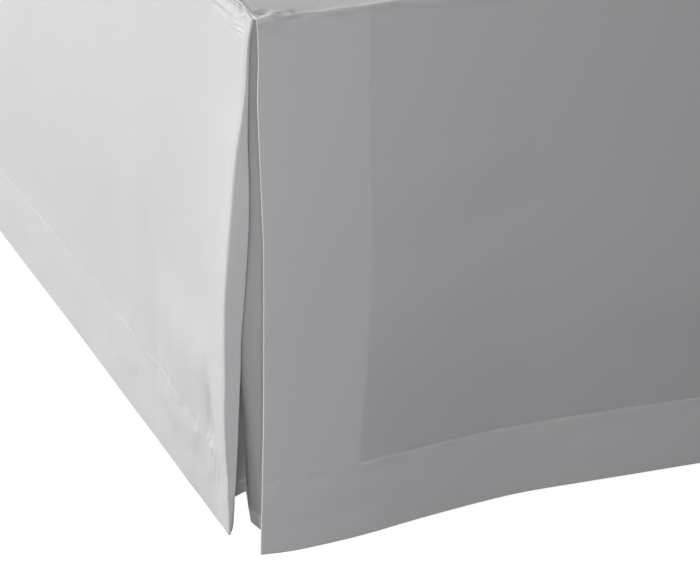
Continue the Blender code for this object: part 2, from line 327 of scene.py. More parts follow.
def skirtCloth(name, seed):
    material, shader, flow = newFinish(name, clothConstants)
    along, down = flow.attribute("along"), flow.attribute("down")
    turn = 2 * pi / weave["pitch"]
    threads = flow.calc("SINE", along * turn) * flow.calc("SINE", down * turn)
    fine, coarse = weave["slubScale"]
    warp = flow.grain(flow.place(along * fine, down * coarse, seed), 1.0)
    weft = flow.grain(flow.place(along * coarse, down * fine, seed + 7), 1.0)
    slub = warp * 0.5 + weft * 0.5
    cloud = flow.grain(flow.place(along, down, seed), weave["cloudScale"], 3.0)
    # paler where the cloth is doubled and where light is painted; toward the painted shade colour where
    # unshaded is low
    cloth = flow.blend(flow.attribute("doubled"), weave["single"], weave["doubled"])
    cloth = flow.blend(flow.attribute("backed"), weave["paintedShadeColor"], cloth)
    shade = 1.0 + (cloud - 0.5) * weave["cloudiness"] + (slub - 0.5) * weave["slubShade"]
    feed(shader, {
        "Base Color": flow.shaded(cloth, shade),
        "Roughness": weave["roughness"] + (slub - 0.5) * weave["roughnessSpread"],
        "Normal": flow.bump(threads * weave["threadHeight"] + slub * weave["slubHeight"]),
    })
    return material


# The panels' outline and grid

# At each share of the drop: how far the foot panel's end stands out, the radius that it rolls
# round, and the width of the strip that is turned in behind it.
footEnd = table(
    ("share", "out", "roll", "turned"),
    (0.000, 0.0000, 0.0012, 0.0002),
    (0.006, 0.0008, 0.0012, 0.0002),
    (0.015, 0.0016, 0.0012, 0.0002),
    (0.046, 0.0037, 0.0014, 0.0003),
    (0.109, 0.0050, 0.0016, 0.0005),
    (0.136, 0.0055, 0.0017, 0.0008),
    (0.190, 0.0079, 0.0020, 0.0023),
    (0.245, 0.0118, 0.0036, 0.0046),
    (0.300, 0.0143, 0.0048, 0.0065),
    (0.356, 0.0162, 0.0050, 0.0084),
    (0.413, 0.0184, 0.0048, 0.0101),
    (0.527, 0.0218, 0.0042, 0.0112),
    (0.604, 0.0223, 0.0042, 0.0092),
    (0.682, 0.0223, 0.0040, 0.0084),
    (0.762, 0.0227, 0.0026, 0.0086),
    (0.843, 0.0215, 0.0018, 0.0069),
    (0.904, 0.0203, 0.0018, 0.0043),
    (0.945, 0.0199, 0.0016, 0.0027),
    (0.976, 0.0197, 0.0014, 0.0008),
    (1.000, 0.0198, 0.0013, 0.0002),
)
footLean = table(    # how far the foot panel stands out away from its ends
    ("share", "out"),
    (0.00, 0.0000),
    (0.40, 0.0040),
    (0.75, 0.0090),
    (0.853, 0.0112),
    (1.00, 0.0196),
)

# "flare" is how far the side panel stands out at the split, "kink" how far along that holds and
# "ease" the length over which it falls back; "swing" and "footSwell" scale the corner's tables.
sides = [
    {"name": "right", "side": 1, "flare": 0.0285, "kink": 0.068, "ease": 0.142,
     "swing": 1.0, "footSwell": 1.0, "wave": 0.0016, "waveStart": 0.55},
    {"name": "left", "side": -1, "flare": 0.0240, "kink": 0.074, "ease": 0.150,
     "swing": 0.8, "footSwell": 0.8, "wave": 0.0020, "waveStart": 0.35},
]
splitEdge = table(    # how far the side panel's edge swings toward the foot
    ("share", "swing"),
    (0.000, 0.0002),
    (0.016, -0.0008),
    (0.078, -0.0010),
    (0.113, -0.0002),
    (0.140, 0.0004),
    (0.193, 0.0004),
    (0.291, 0.0000),
    (0.401, -0.0005),
    (0.456, -0.0003),
    (0.585, 0.0013),
    (0.735, 0.0033),
    (0.869, 0.0060),
    (1.000, 0.0089),
)

# Each grid is given as (position, spacing there), fine where cloth is folded, stitched or creased.
panelRows = graded(
    (0, 0.0003), (0.0016, 0.0006), (0.008, 0.0006), (0.0175, 0.0006), (0.026, 0.0018),
    (0.055, 0.004), (0.130, 0.007), (0.280, 0.006), (0.291, 0.0028), (0.316, 0.0025),
    (0.3215, 0.0008), (0.3285, 0.0008), (0.334, 0.0026), (0.352, 0.0036), (0.374, 0.004),
    (0.3795, 0.0004), (0.381, 0.0003),
)
footColumns = [    # from the panel's end to its middle
    (0, 0.0003), (0.0012, 0.0007), (0.022, 0.0008), (0.030, 0.0011), (0.060, 0.0011),
    (0.068, 0.0018), (0.071, 0.0012), (0.0835, 0.0012), (0.087, 0.0035), (0.25, 0.0060),
    (0.42, 0.0095), (bed["width"] / 2 - bed["footPanelEnd"], 0.011),
]
sideColumns = [    # from the foot end
    (0, 0.0003), (0.0016, 0.0007), (0.004, 0.0014), (0.040, 0.0018), (0.068, 0.0020),
    (0.071, 0.0012), (0.0835, 0.0012), (0.087, 0.0035), (0.36, 0.0040), (0.60, 0.0090),
]
headColumns = [    # back from the head end
    (0.20, 0.0110), (0.084, 0.0050), (0.0825, 0.0009), (0.0775, 0.0009), (0.074, 0.0050),
    (0.005, 0.0025), (0.0016, 0.0006), (0, 0.0003),
]


# Hems and seam

hem = {
    "step": 0.001,                  # half the length over which the cloth thickens at a stitch line
    "taper": 0.0072,                # an end hem narrows by this toward the floor
    "taperZone": (0.19, 0.14),      # from this depth, over this length
    "pillow": 0.18,                 # relief in millimetres, the turned cloth out and the stitches in
    "bottomStitch": 0.22,
    "uprightStitch": 0.08,
    "bottomWidth": 0.0011,
    "uprightWidth": 0.0022,
    "bottomWander": 0.0008,         # how far a stitch line strays, and the size of the noise
    "bottomSize": (0.030, 0.3),
    "uprightWander": 0.0012,
    "uprightSize": (0.045, 0.3),
    "unevenness": 1.1,
    "unevenSize": (0.021, 0.030),
    "past": 0.008,                  # the bottom stitches run on this far into the end hem
    "edgeRound": 0.008,
    "shade": 0.36,                  # how far doubled cloth goes to its paler shade
    "seamShade": 0.15,
    "paintedShade": 0.26,                   # painted shade: how far single cloth darkens toward the bottom, below the box spring
    "paintedShadeZone": (0.20, 0.09),
}


def hemFields(run, depth, toEnd, toEdge, seed):  # a panel's thickness, relief, paler doubled cloth and painted shade
    step = hem["step"]
    endHem = bed["endHem"] - hem["taper"] * rising(depth, *hem["taperZone"])
    atEnd = ease((endHem + step - toEnd) / (2 * step))
    atBottom = ease((depth - hemLine + step) / (2 * step))
    atSeam = ease((bed["seamAllowance"] + step - depth) / (2 * step))
    doubled = np.maximum(np.maximum(atEnd, atBottom), atSeam)
    toEdge = np.minimum(np.minimum(toEdge, bed["drop"] - depth), depth)
    uneven = 1 + hem["unevenness"] * ripple(run, depth, *hem["unevenSize"], seed + 2)
    pulled = depth - hemLine - hem["bottomWander"] * ripple(run, depth, *hem["bottomSize"], seed + 1)
    bottomLine = bell(pulled, hem["bottomWidth"]) * uneven
    bottomLine = bottomLine * rising(toEnd, bed["endHem"] - hem["past"], 0.004)
    aside = toEnd - endHem - hem["uprightWander"] * ripple(depth, run, *hem["uprightSize"], seed + 4)
    uprightLine = bell(aside, hem["uprightWidth"]) * uneven * falling(depth, hemLine + 0.003, 0.002)
    rise = np.maximum(ease(pulled / 0.003 + 0.5), ease(0.5 - aside / 0.006))
    puff = hem["pillow"] * rise * ease(toEdge / hem["edgeRound"])
    puff = puff - hem["bottomStitch"] * bottomLine - hem["uprightStitch"] * uprightLine
    pale = np.maximum(np.maximum(atEnd, atBottom), hem["seamShade"] * atSeam)
    return {
        "thickness": bed["cloth"] + (bed["hemCloth"] - bed["cloth"]) * doubled,
        "doubled": hem["shade"] * pale,
        "toEdge": toEdge,
        "puff": puff * millimetre,
        # painted shade: single cloth darker toward the bottom
        "backed": 1 - hem["paintedShade"] * rising(depth, *hem["paintedShadeZone"]) * (1 - doubled),
        "along": run,
        "down": depth,
    }


seam = {
    "pucker": 0.00030,
    "size": (0.011, 0.03),
    "fade": 0.009,
    "evenPart": 0.4,            # the puckers stand out on average
    "cornerGain": 2.2,
    "cornerReach": 0.055,
    "ridge": 0.00075,           # the roped seam allowance
    "ridgeAt": 0.0005,
    "ridgeReach": 0.0017,
    "ropeSize": (0.0085, 0.004),
    "ropeTwist": 2.1,
    "ropeCornerGain": 0.3,
    "ropeCornerReach": 0.02,
}


def seamPuckers(place, toCorner, fromSeam, seed, stand, reach=seam["ridgeReach"]):
    gain = 1 + seam["cornerGain"] * bell(toCorner, seam["cornerReach"])
    wave = ripple(place, fromSeam, *seam["size"], seed)
    rope = ripple(place, fromSeam, *seam["ropeSize"], seed + 1)
    ridge = seam["ridge"] * (1 + seam["ropeTwist"] * rope) * bell(fromSeam - seam["ridgeAt"], reach)
    ridge = ridge * (1 + seam["ropeCornerGain"] * bell(toCorner, seam["ropeCornerReach"]))
    puckers = seam["pucker"] * gain * (seam["evenPart"] + wave) * np.exp(-fromSeam / seam["fade"])
    return puckers + stand * ridge


panelWaves = {    # noise over a hanging panel
    "slow": {"size": (0.28, 0.20), "height": 0.0014, "seed": 0},
    "soft": {"size": (0.09, 0.13), "height": 0.00030, "seed": 3},
    "acrossHemLine": {"size": (0.017, 0.02), "height": 0.00034, "seed": 5},
    "belowStitches": {"size": (0.0095, 0.010), "height": 0.00028, "seed": 6},
    "inHem": {"size": (0.021, 0.016), "height": 0.00030, "seed": 7},
}
waveZones = {
    "free": 0.08,                   # the cloth hangs free this far below the seam
    "hemLineReach": 0.012,
    "stitchAt": 0.002,              # below the hem line
    "stitchReach": 0.005,
    "cornerGain": 1.5,
    "cornerReach": 0.25,
    "flatEdge": 0.75,               # the waves lose this share toward the bottom edge
    "flatEdgeZone": (0.350, 0.030),
}


def panelBend(run, depth, toCorner, seed, drape):  # unevenness of the whole cloth, seam and hem puckers
    waves = {}
    for name, wave in panelWaves.items():
        waves[name] = ripple(run, depth, *wave["size"], seed + wave["seed"]) * wave["height"]
    nearCorner = 1 + waveZones["cornerGain"] * bell(toCorner, waveZones["cornerReach"])
    belowLine = depth - hemLine
    flatEdge = waveZones["flatEdge"] * rising(depth, *waveZones["flatEdgeZone"])
    hemWave = waves["acrossHemLine"] * bell(belowLine, waveZones["hemLineReach"])
    atStitch = bell(belowLine - waveZones["stitchAt"], waveZones["stitchReach"])
    hemWave += waves["belowStitches"] * nearCorner * atStitch
    hemWave += waves["inHem"] * nearCorner * (ease(belowLine / 0.01) * (1 - flatEdge))
    puckers = seamPuckers(run, toCorner, depth, seed + 9, drape["ridge"], drape["ridgeReach"])
    slow = (waves["slow"] + waves["soft"]) * ease(depth / waveZones["free"])
    return slow + puckers + drape["crumple"] * hemWave


# Foot panel

footFolds = table(   # start and end as (from either end of the panel, depth)
    foldColumns,
    ((0.250, 0.195), (0.176, 0.345), 0.0230, -0.0032),    # soft folds down the panel
    ((0.150, 0.195), (0.108, 0.325), 0.0230, 0.0012),
    ((0.350, 0.225), (0.285, 0.322), 0.0220, -0.0016),
    ((0.060, 0.266), (0.044, 0.332), 0.0150, -0.0036),
    ((0.0578, 0.286), (0.0515, 0.325), 0.0032, -0.0015, 0.0080),    # short creases near the end
    ((0.0490, 0.304), (0.0452, 0.329), 0.0030, -0.0022, 0.0065),
    ((0.0395, 0.315), (0.0345, 0.342), 0.0025, -0.0013, 0.0060),
    ((0.0305, 0.321), (0.0285, 0.347), 0.0024, -0.0018, 0.0040),
    ((0.0240, 0.324), (0.0215, 0.354), 0.0022, -0.0015, 0.0035),
    ((0.204, 0.312), (0.186, 0.346), 0.0050, -0.0009),    # across the hem's stitch line and in the hem
    ((0.172, 0.318), (0.160, 0.342), 0.0040, -0.0008),
    ((0.148, 0.316), (0.141, 0.338), 0.0040, -0.0007),
    ((0.095, 0.345), (0.060, 0.322), 0.0050, 0.0006),
    ((0.130, 0.362), (0.050, 0.350), 0.0070, -0.0007),
    ((0.260, 0.340), (0.215, 0.372), 0.0070, -0.0006),
    ((0.205, 0.338), (0.115, 0.370), 0.0095, -0.0012),
    ((0.310, 0.336), (0.245, 0.362), 0.0110, 0.0008),
    ((0.420, 0.335), (0.365, 0.368), 0.0090, -0.0006),
    ((0.50, 0.10), (0.36, 0.25), 0.035, 0.0011),    # broad folds toward the middle
    ((0.40, 0.05), (0.27, 0.19), 0.030, -0.0010),
    ((0.64, 0.16), (0.52, 0.32), 0.030, -0.0012),
    ((0.085, 0.0125), (0.045, 0.0125), 0.0020, -0.0009),    # along the seam and below it
    ((0.090, 0.0090), (0.028, 0.0095), 0.0024, 0.0007),
    ((0.031, 0.0138), (0.010, 0.0112), 0.0012, 0.0010),
    ((0.031, 0.0154), (0.009, 0.0128), 0.0011, -0.0016),
    ((0.030, 0.0167), (0.015, 0.0150), 0.0010, 0.0004),
    ((0.028, 0.0180), (0.010, 0.0160), 0.0011, -0.0007),
    ((0.042, 0.0190), (0.022, 0.0215), 0.0022, -0.0006),
    ((0.034, 0.0010), (0.030, 0.0090), 0.0022, -0.0013),    # puckers down from the seam
    ((0.0235, 0.0000), (0.0200, 0.0055), 0.0025, -0.0025),
    ((0.0180, 0.0022), (0.0150, 0.0080), 0.0022, -0.0020),
    ((0.0130, 0.0008), (0.0085, 0.0068), 0.0021, 0.0012),
    ((0.052, 0.0020), (0.047, 0.0085), 0.0026, -0.0010),
    ((0.071, 0.0020), (0.068, 0.0080), 0.0026, -0.0008),
)
footSwell = {
    "from": 0.005,                  # the end's swell starts to fall this far from the end
    "highReach": 0.155,
    "highPower": 2.2,
    "lowReach": 0.320,
    "lowPower": 1.5,
    "lowZone": (0.235, 0.050),      # the lower fall takes over from this depth, over this length
}
foot = {
    "seed": 2.5,
    "ridge": 1.4,
    "ridgeReach": 0.0017,
    "crumple": 1.6,
    "endZone": 0.026,               # the part of the grid that follows the rolled end
    "endRidge": 0.00045,            # a faint ridge beside the roll
    "endRidgeAt": 0.0035,
    "endRidgeReach": 0.0022,
    "stripBlur": 0.005,
    "stripHigh": 0.35,              # how pale the turned strip of doubled cloth is at the top, and how much painted light is added below
    "stripLow": 0.65,
    "stripZone": (0.06, 0.06),
    "endShade": 0.38,               # painted highlight: the free end is paler lower down
    "endShadeZone": (0.24, 0.06),
    "endShadeWidth": (0.040, 0.022),
    "paintedShade": 0.38,                   # painted shade: the panel darkens down the drop, and again in patches in the hem
    "paintedShadeZone": (0.08, 0.27),
    "hemPaintedShade": 0.13,
    "hemPaintedShadeZone": (0.336, 0.018),
    "hemPaintedShadeSize": (0.060, 0.030),
    "stripUnshaded": 0.45,
}


def footOut(toEnd, depth, swellShare):  # how far the foot panel stands out
    share = depth / bed["drop"]
    lean = readCurve(footLean, share, "out")
    swell = readCurve(footEnd, share, "out")
    fromEnd = toEnd - footSwell["from"]
    high = (1 - np.clip(fromEnd / footSwell["highReach"], 0, 1)) ** footSwell["highPower"]
    low = (1 - np.clip(fromEnd / footSwell["lowReach"], 0, 1)) ** footSwell["lowPower"]
    near = high + (low - high) * rising(depth, *footSwell["lowZone"])
    return lean + swellShare * (swell - lean) * near


def footPanel():
    width = bed["width"] - 2 * bed["footPanelEnd"]
    half = graded(*footColumns)
    places = np.concatenate([half, width - half[-2::-1]])
    place, depth = np.meshgrid(places, panelRows, indexing="ij")
    share = depth / bed["drop"]
    right = place > width / 2
    toBorder = np.minimum(place, width - place)
    swellShare = np.where(right, sides[0]["footSwell"], sides[1]["footSwell"])

    # Each row runs from the turned strip's edge round the roll and then along the panel's face.
    roll = readCurve(footEnd, share, "roll") * swellShare
    turned = readCurve(footEnd, share, "turned") * swellShare
    endZone = foot["endZone"]
    zone = turned + roll * pi / 2 + endZone - roll
    path = np.where(toBorder < endZone, toBorder / endZone * zone, toBorder - endZone + zone)
    angle = np.clip((path - turned) / roll, 0, pi / 2)
    past = np.clip(path - turned - roll * pi / 2, 0, None)
    toEnd = roll * (1 - np.cos(angle)) + past
    behind = roll * (1 - np.sin(angle)) + np.clip(turned - path, 0, None)

    toCorner = toEnd + bed["footPanelEnd"]
    x = np.where(right, 1, -1) * (width / 2 - toEnd)
    y = behind - bed["length"] / 2 - footOut(toEnd, depth, swellShare)
    z = bed["seamTop"] - depth - cornerDroop(toCorner, 0, depth)
    cut = hemFields(place, depth, toEnd, path, 71.5)
    cut["face"] = np.stack([x, y, z], axis=-1)
    cut["turn"] = -1
    cut["bend"] = panelBend(place, depth, toCorner, foot["seed"], foot)
    cut["bend"] += softFolds(toEnd, depth, footFolds) * (toEnd > roll)
    cut["bend"] += foot["endRidge"] * bell(toEnd - roll - foot["endRidgeAt"], foot["endRidgeReach"])

    # the turned strip is doubled cloth, paler, with painted light added below its top; the free end gets a
    # painted highlight lower down
    strip = 1 - ease((path - turned - roll) / foot["stripBlur"])
    paleStrip = strip * (foot["stripHigh"] + foot["stripLow"] * rising(depth, *foot["stripZone"]))
    paintedEndHighlight = foot["endShade"] * rising(depth, *foot["endShadeZone"])
    paintedEndHighlight = paintedEndHighlight * falling(toEnd, *foot["endShadeWidth"])
    cut["doubled"] = np.maximum(paleStrip, paintedEndHighlight)
    # painted shade: darker down the drop and in patches in the hem, less on the turned strip
    paintedShadePatches = np.clip(0.75 + 1.6 * ripple(place, depth, *foot["hemPaintedShadeSize"], 47.5), 0, 2)
    paintedShade = foot["paintedShade"] * rising(depth, *foot["paintedShadeZone"])
    paintedShade = paintedShade + foot["hemPaintedShade"] * rising(depth, *foot["hemPaintedShadeZone"]) * paintedShadePatches
    cut["backed"] = 1 - paintedShade * (1 - foot["stripUnshaded"] * strip)
    return cut


# Side panels

sideFolds = table(   # start and end as (from the foot end, depth)
    foldColumns,
    ((0.050, 0.158), (0.215, 0.096), 0.018, 0.0006),    # slanting folds
    ((0.095, 0.196), (0.235, 0.132), 0.017, -0.0005),
    ((0.085, 0.226), (0.255, 0.160), 0.023, 0.0006),
    ((0.120, 0.250), (0.330, 0.215), 0.020, -0.0006),
    ((0.230, 0.262), (0.420, 0.292), 0.024, -0.0010),
    ((0.60, 0.09), (0.42, 0.21), 0.030, 0.0010),
    ((0.95, 0.12), (0.74, 0.28), 0.032, -0.0010),
    ((1.30, 0.30), (1.10, 0.13), 0.030, -0.0009),
    ((1.66, 0.10), (1.48, 0.28), 0.035, 0.0010),
    ((1.88, 0.28), (1.80, 0.10), 0.020, -0.0008),
    ((0.0090, 0.0015), (0.0085, 0.0130), 0.0050, 0.0007),    # puckers down from the seam
    ((0.024, 0.0015), (0.026, 0.0080), 0.0016, -0.0006),
    ((0.034, 0.0015), (0.037, 0.0110), 0.0022, 0.0005),
    ((0.052, 0.0020), (0.050, 0.0090), 0.0020, -0.0005),
)
sideDrape = {
    "ridge": 0.55,
    "ridgeReach": 0.0042,
    "crumple": 1.0,
    "blur": (-0.018, -0.009, 0.0, 0.009, 0.018),    # the kink is softened over these shifts
    "flareFall": 1.3,
    "flareDown": 1.15,
    "lip": 0.0036,                                  # the upright edge stands out a little more
    "lipAt": 0.021,
    "lipReach": 0.028,
    "waveLength": 0.620,
    "waveGrowth": 0.300,
}


def sideOut(run, depth, row):  # how far a side panel stands out
    share = depth / bed["drop"]
    flare = 0
    for shift in sideDrape["blur"]:
        pastKink = np.clip((run + shift - row["kink"]) / row["ease"], 0, 1)
        flare = flare + row["flare"] * (1 - pastKink) ** sideDrape["flareFall"] / len(sideDrape["blur"])
    lip = sideDrape["lip"] * bell(run - sideDrape["lipAt"], sideDrape["lipReach"])
    waveRun = np.clip(run - row["waveStart"], 0, None)
    wave = 1 + np.sin(waveRun * 2 * pi / sideDrape["waveLength"])
    wave = row["wave"] * ease(waveRun / sideDrape["waveGrowth"]) * wave
    return (flare + lip) * share ** sideDrape["flareDown"] + wave * share


def sidePanel(row):
    length = bed["length"]
    places = graded(*sideColumns, *[(length - back, spacing) for back, spacing in headColumns])
    run, depth = np.meshgrid(places, panelRows, indexing="ij")
    side = row["side"]
    swing = row["swing"] * readCurve(splitEdge, depth / bed["drop"], "swing")
    swing = swing * (1 - ease(run / (row["kink"] + row["ease"])))
    x = side * (bed["width"] / 2 + sideOut(run, depth, row))
    y = run - length / 2 - swing
    z = bed["seamTop"] - depth - cornerDroop(0, run, depth) - seamSag(run, depth)
    toEnd = np.minimum(run, length - run)
    cut = hemFields(run, depth, toEnd, toEnd, 81.5 + side)
    cut["face"] = np.stack([x, y, z], axis=-1)
    cut["turn"] = -side
    cut["bend"] = panelBend(run, depth, run, 20.5 + 10 * side, sideDrape)
    cut["bend"] += softFolds(run, depth, sideFolds)
    return cut


# Corner inserts

insertFolds = table(     # (in from the side, in from the foot) of each fold at a share of the drop
    ("share", "wallEnd", "backEnd", "lip", "sideRun"),
    (0.00, (0.0150, 0.0040), (0.0155, 0.0050), (0.0135, 0.0005), (0.0080, 0.0090)),
    (0.17, (0.0290, 0.0010), (0.0290, -0.0035), (0.0205, -0.0055), (0.0085, 0.0075)),
    (0.43, (0.0350, -0.0030), (0.0340, -0.0070), (0.0230, -0.0085), (0.0078, 0.0075)),
    (0.604, (0.0430, -0.0020), (0.0400, 0.0020), (0.0160, -0.0107), (0.0068, 0.0075)),
    (0.682, (0.0430, 0.0000), (0.0430, 0.0065), (0.0147, -0.0095), (0.0060, 0.0070)),
    (0.762, (0.0490, 0.0020), (0.0505, 0.0105), (0.0145, -0.0062), (0.0055, 0.0065)),
    (0.843, (0.0570, 0.0035), (0.0600, 0.0130), (0.0160, -0.0035), (0.0055, 0.0055)),
    (0.904, (0.0620, 0.0040), (0.0680, 0.0140), (0.0175, -0.0014), (0.0055, 0.0045)),
    (1.00, (0.0638, 0.0041), (0.0705, 0.0150), (0.0205, 0.0016), (0.0062, 0.0036)),
)
insert = {
    "flat": (0.27, 0.405),
    "flatArea": 0.085,          # it is cut narrower at the top
    "hem": 0.012,
    "top": 0.0033,
    "seat": 0.0005,             # from the foot panel's back
    "startPastRoll": 0.0010,
    "behindSide": 0.0030,       # in from the side, less by these toward the hem
    "middle": {"at": 0.060, "less": 0.0020},
    "end": {"at": 0.135, "less": 0.0010},
    "lineSteps": 7,
    "foldSteps": 8,
    "softFold": 0.0085,         # length of cloth that turns at a fold, at the top and at the hem
    "hemFold": 0.0014,
    "foldPower": 8,
    "streak": 0.0003,
    "streakSize": (0.011, 0.16),
    "pillow": 0.12,             # relief in millimetres
    "stitch": 0.30,
    "stitchWidth": 0.0009,
}
insertRows = [(insert["top"], 0.0003), (0.0050, 0.0010), (0.010, 0.005)]    # above its hem
# painted light and shade in the split: painted shade past the lip, painted light on the wall and near the
# top
insertShade = {
    "lipBlur": 0.006,
    "lip": 0.55,                # painted shade: how dark the cloth is past its lip, by depth
    "lipFall": 0.20,
    "lipFallOver": 0.010,
    "middle": 0.95,
    "middleZone": (0.17, 0.11),
    "lowLess": 0.45,
    "lowZone": (0.32, 0.04),
    "topEnd": (0.115, 0.05),
    "wallZone": (0.22, 0.05),   # painted light: the wall behind the foot panel is paler between these depths
    "wallLess": 0.85,
    "wallLessZone": (0.30, 0.06),
    "wallRun": (0.066, 0.008),
    "paleTop": (0.10, 0.03),
}


def foldedLine(points, foldLength):  # a line with rounded folds, always with the same count of points
    lineSteps, foldSteps = insert["lineSteps"], insert["foldSteps"]
    path = [points[0]]
    leave = points[0]
    for before, fold, after in zip(points, points[1:], points[2:]):
        enter = fold - (fold - before).normalized() * min(foldLength, (fold - before).length * 0.45)
        end = fold + (after - fold).normalized() * min(foldLength, (after - fold).length * 0.45)
        path += [leave.lerp(enter, step / lineSteps) for step in range(1, lineSteps + 1)]
        for step in range(1, foldSteps + 1):
            u = step / foldSteps
            path.append(enter * (1 - u) ** 2 + fold * (2 * u * (1 - u)) + end * u ** 2)
        leave = end
    return path + [leave.lerp(points[-1], step / lineSteps) for step in range(1, lineSteps + 1)]


def insertLine(row, depth, hemTop):  # the insert's section at one depth, from the foot panel's back
    share = depth / bed["drop"]
    lean = float(readCurve(footLean, share, "out"))
    swell = float(readCurve(footEnd, share, "out"))
    roll = float(readCurve(footEnd, share, "roll"))
    thickness = bed["hemCloth"] if depth > hemTop else bed["cloth"]
    standOff = swell * row["footSwell"] + lean * (1 - row["footSwell"])
    behind = bed["hemCloth"] + insert["seat"] + thickness * 0.5
    inward = bed["footPanelEnd"] + max(roll, bed["hemCloth"]) + insert["startPastRoll"]
    points = [Vector((inward, behind - standOff))]
    for name in ("wallEnd", "backEnd", "lip", "sideRun"):
        points.append(Vector(readCurve(insertFolds, share, name)))
    for name in ("middle", "end"):
        points.append(Vector((insert["behindSide"] - insert[name]["less"] * share, insert[name]["at"])))
    harder = share ** insert["foldPower"]
    return foldedLine(points, insert["softFold"] + (insert["hemFold"] - insert["softFold"]) * harder)


def insertShades(run, depth, atHem):
    tone = insertShade
    lipStep = 3 * insert["lineSteps"] + 2 * insert["foldSteps"] + insert["foldSteps"] // 2
    fromLip = run - run[lipStep]
    pastLip = ease((fromLip + tone["lipBlur"]) / tone["lipBlur"])
    paintedLipShade = tone["lip"] - tone["lipFall"] * ease(fromLip / tone["lipFallOver"])
    paintedLipShade = paintedLipShade + (tone["middle"] - paintedLipShade) * rising(depth, *tone["middleZone"])
    paintedLipShade = paintedLipShade * (1 - tone["lowLess"] * rising(depth, *tone["lowZone"]))
    paintedLipShade = paintedLipShade + (1.0 - paintedLipShade) * falling(depth, *tone["topEnd"])
    paintedWallLight = rising(depth, *tone["wallZone"]) * (1 - tone["wallLess"] * rising(depth, *tone["wallLessZone"]))
    paintedWallLight = paintedWallLight * falling(run, *tone["wallRun"])
    # the hem is doubled cloth; the wall and the top get painted light, and past the lip painted shade
    doubled = np.maximum(np.maximum(atHem, paintedWallLight), (1 - pastLip) * falling(depth, *tone["paleTop"]))
    return doubled, 1 - pastLip * paintedLipShade * (1 - atHem)


def cornerInsert(row):
    side = row["side"]
    drop = bed["drop"]
    hemTop = drop - insert["hem"]
    rows = graded(*insertRows, (hemTop - 0.004, 0.005), (hemTop - 0.002, 0.0007),
                  (hemTop + 0.002, 0.0007), (drop - 0.0015, 0.0015), (drop, 0.0003))
    inward = np.array([insertLine(row, depth, hemTop) for depth in rows]).transpose(1, 0, 2)
    depth = np.broadcast_to(rows, inward.shape[:2])
    steps = np.hypot(*np.moveaxis(np.diff(inward, axis=0), -1, 0))
    run = np.concatenate([np.zeros((1, len(rows))), np.cumsum(steps, axis=0)])
    fromSide, fromFoot = inward[..., 0], inward[..., 1]
    x = side * (bed["width"] / 2 - fromSide)
    y = fromFoot - bed["length"] / 2
    z = bed["seamTop"] - depth - cornerDroop(np.abs(fromSide), np.abs(fromFoot), depth)
    z = z - seamSag(fromFoot, depth)
    atHem = ease((depth - hemTop + hem["step"]) / (2 * hem["step"]))
    toEdge = np.minimum(np.minimum(run, run[-1] - run), np.minimum(depth - insert["top"], drop - depth))
    streak = insert["streak"] * ripple(run, depth, *insert["streakSize"], 41.5 + side)
    puff = insert["pillow"] * atHem * ease(toEdge / 0.004)
    puff = puff - insert["stitch"] * bell(depth - hemTop, insert["stitchWidth"])
    doubled, backed = insertShades(run, depth, atHem)
    return {
        "face": np.stack([x, y, z], axis=-1),
        "turn": -side,
        "thickness": bed["cloth"] + (bed["hemCloth"] - bed["cloth"]) * atHem,
        "bend": streak * ease(run / 0.006) * ease(depth / 0.03),
        "puff": puff * millimetre,
        "toEdge": toEdge,
        "along": run,
        "down": depth,
        "doubled": doubled,
        "backed": backed,
    }


# Deck

deck = {
    "edge": 0.0005,             # the deck's edge from the seam line
    "headHem": 0.012,
    "sink": 0.0002,             # below the top of the seam
    "sagReach": 0.014,          # the side seam's sag reaches this far in
    "curl": 0.0004,
    "curlOver": 0.004,
    "slow": 0.0012,             # slack in the laid cloth
    "slowSize": (0.23, 0.23),
    "fine": 0.0004,
    "fineSize": (0.07, 0.07),
    "footRidge": 0.6,
    "stitch": 0.25,             # relief in millimetres
    "stitchWidth": 0.0009,
    # the edge is paler where the seam allowance doubles the cloth, with a painted highlight along the seam
    "edgeShade": 0.5,
    "edgeShadeReach": 0.006,
    # painted shade over the deck's field, gone near the seam
    "backed": 0.75,
    "unshadedReach": 0.005,
}
deckDents = [   # "at" is (in from the side, in from the foot)
    {"at": (0.0125, 0.0092), "width": 0.0046, "depth": 0.0034},
    {"at": (0.0060, 0.0135), "width": 0.0046, "depth": -0.0014},
]
deckFolds = table(   # start and end as (in from the side, in from the foot)
    foldColumns,
    ((0.0052, 0.0150), (0.0060, 0.0225), 0.0015, -0.0010),
    ((0.0050, 0.0245), (0.0060, 0.0305), 0.0014, -0.0010),
    ((0.0100, 0.0195), (0.0090, 0.0300), 0.0022, 0.0006),
)
deckEdgeSteps = [(0, 0.0003), (0.0012, 0.0006), (0.005, 0.0015), (0.05, 0.004), (0.12, 0.010)]
deckHeadSteps = [   # back from the head
    (0.05, 0.010), (0.017, 0.004), (0.014, 0.0008), (0.010, 0.0008), (0.008, 0.003),
    (0.0015, 0.0008), (0, 0.0003),
]


